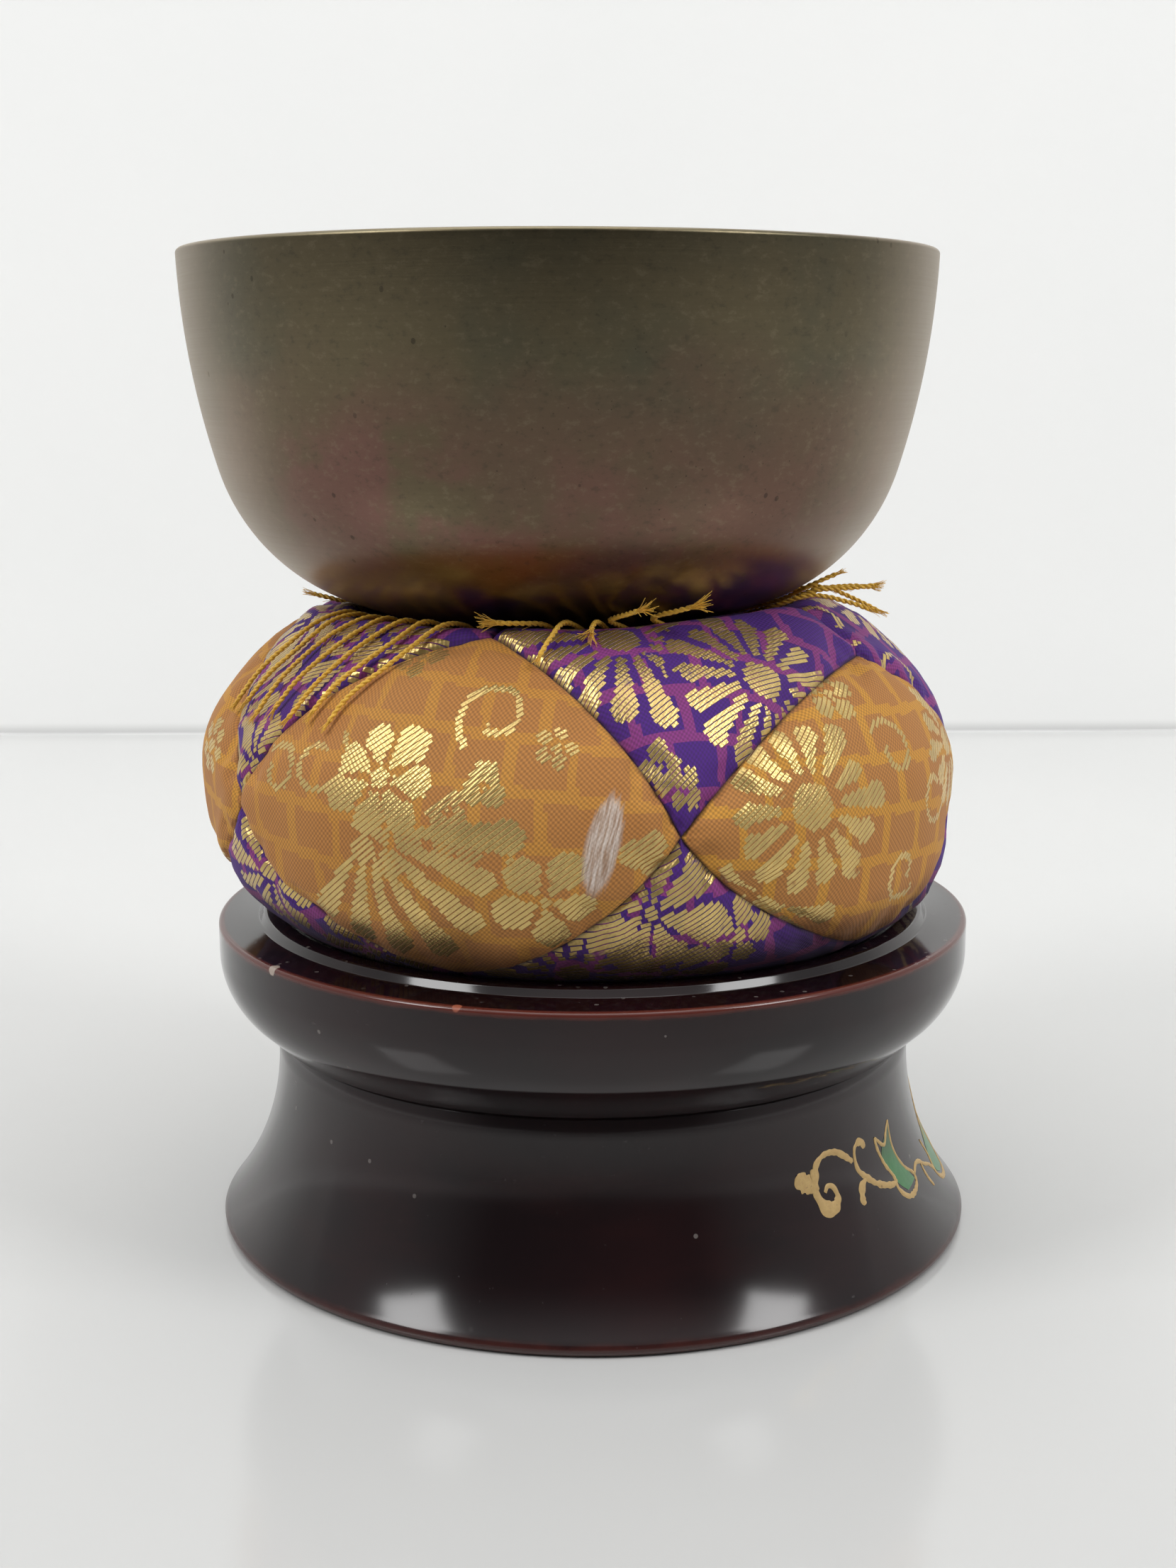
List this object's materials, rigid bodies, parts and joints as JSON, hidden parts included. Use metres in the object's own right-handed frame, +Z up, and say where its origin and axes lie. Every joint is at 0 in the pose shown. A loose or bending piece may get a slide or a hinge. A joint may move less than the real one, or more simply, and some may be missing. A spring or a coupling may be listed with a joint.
{
  "type": "singing bowl",
  "caption": "Small bronze standing bell resting on a round patchwork cushion in the dished tray of a turned, lacquered stand.",
  "frame": {"origin": "middle of the stand's foot, on the surface that it stands on", "axes": "+Z up through the middle of the stand, -Y towards the viewer who faces the object, +X to that viewer's right"},
  "size_m": [0.0962, 0.0948, 0.119],
  "materials": {
    "bronze": "satin, finely turned, with a brown patina",
    "lacquer": "glossy black-red lacquer, worn red at the edges",
    "purple_brocade": "purple brocade with plum fretwork and gold chrysanthemums",
    "orange_brocade": "tan-orange brocade with yellow fretwork and gold flowers",
    "stuffing": "cotton wadding",
    "gold_thread": "two-ply mustard-gold thread"
  },
  "bodies": {
    "stand": {"stand_pedestal": "lacquer", "stand_tray": "lacquer"},
    "cushion": {"cushion_core": "stuffing", "upper_patch_1": "purple_brocade", "upper_patch_2": "purple_brocade", "upper_patch_3": "purple_brocade", "upper_patch_4": "purple_brocade", "upper_patch_5": "purple_brocade", "side_patch_1": "orange_brocade", "side_patch_2": "orange_brocade", "side_patch_3": "orange_brocade", "side_patch_4": "orange_brocade", "side_patch_5": "orange_brocade", "lower_patch_1": "purple_brocade", "lower_patch_2": "purple_brocade", "lower_patch_3": "purple_brocade", "lower_patch_4": "purple_brocade", "lower_patch_5": "purple_brocade", "tie_knot": "gold_thread", "tie_base_knot": "gold_thread", "tie_stem": "gold_thread", "tie_thread_01": "gold_thread", "tie_thread_02": "gold_thread", "tie_thread_03": "gold_thread", "tie_thread_04": "gold_thread", "tie_thread_05": "gold_thread", "tie_thread_06": "gold_thread", "tie_thread_07": "gold_thread", "tie_thread_08": "gold_thread", "tie_thread_09": "gold_thread", "tie_thread_10": "gold_thread", "tie_thread_11": "gold_thread", "tie_thread_12": "gold_thread", "tie_thread_13": "gold_thread", "tie_thread_14": "gold_thread", "tie_thread_15": "gold_thread", "tie_thread_16": "gold_thread", "tie_thread_17": "gold_thread", "tie_thread_18": "gold_thread"},
    "bowl": {"bowl": "bronze"}
  },
  "joints": [
    {"name": "cushion_lift", "type": "slide", "parent": "stand", "child": "cushion", "axis": [0, 0, 1], "range_m": [0, 0.06]},
    {"name": "bowl_lift", "type": "slide", "parent": "cushion", "child": "bowl", "axis": [0, 0, 1], "range_m": [0, 0.06]}
  ]
}
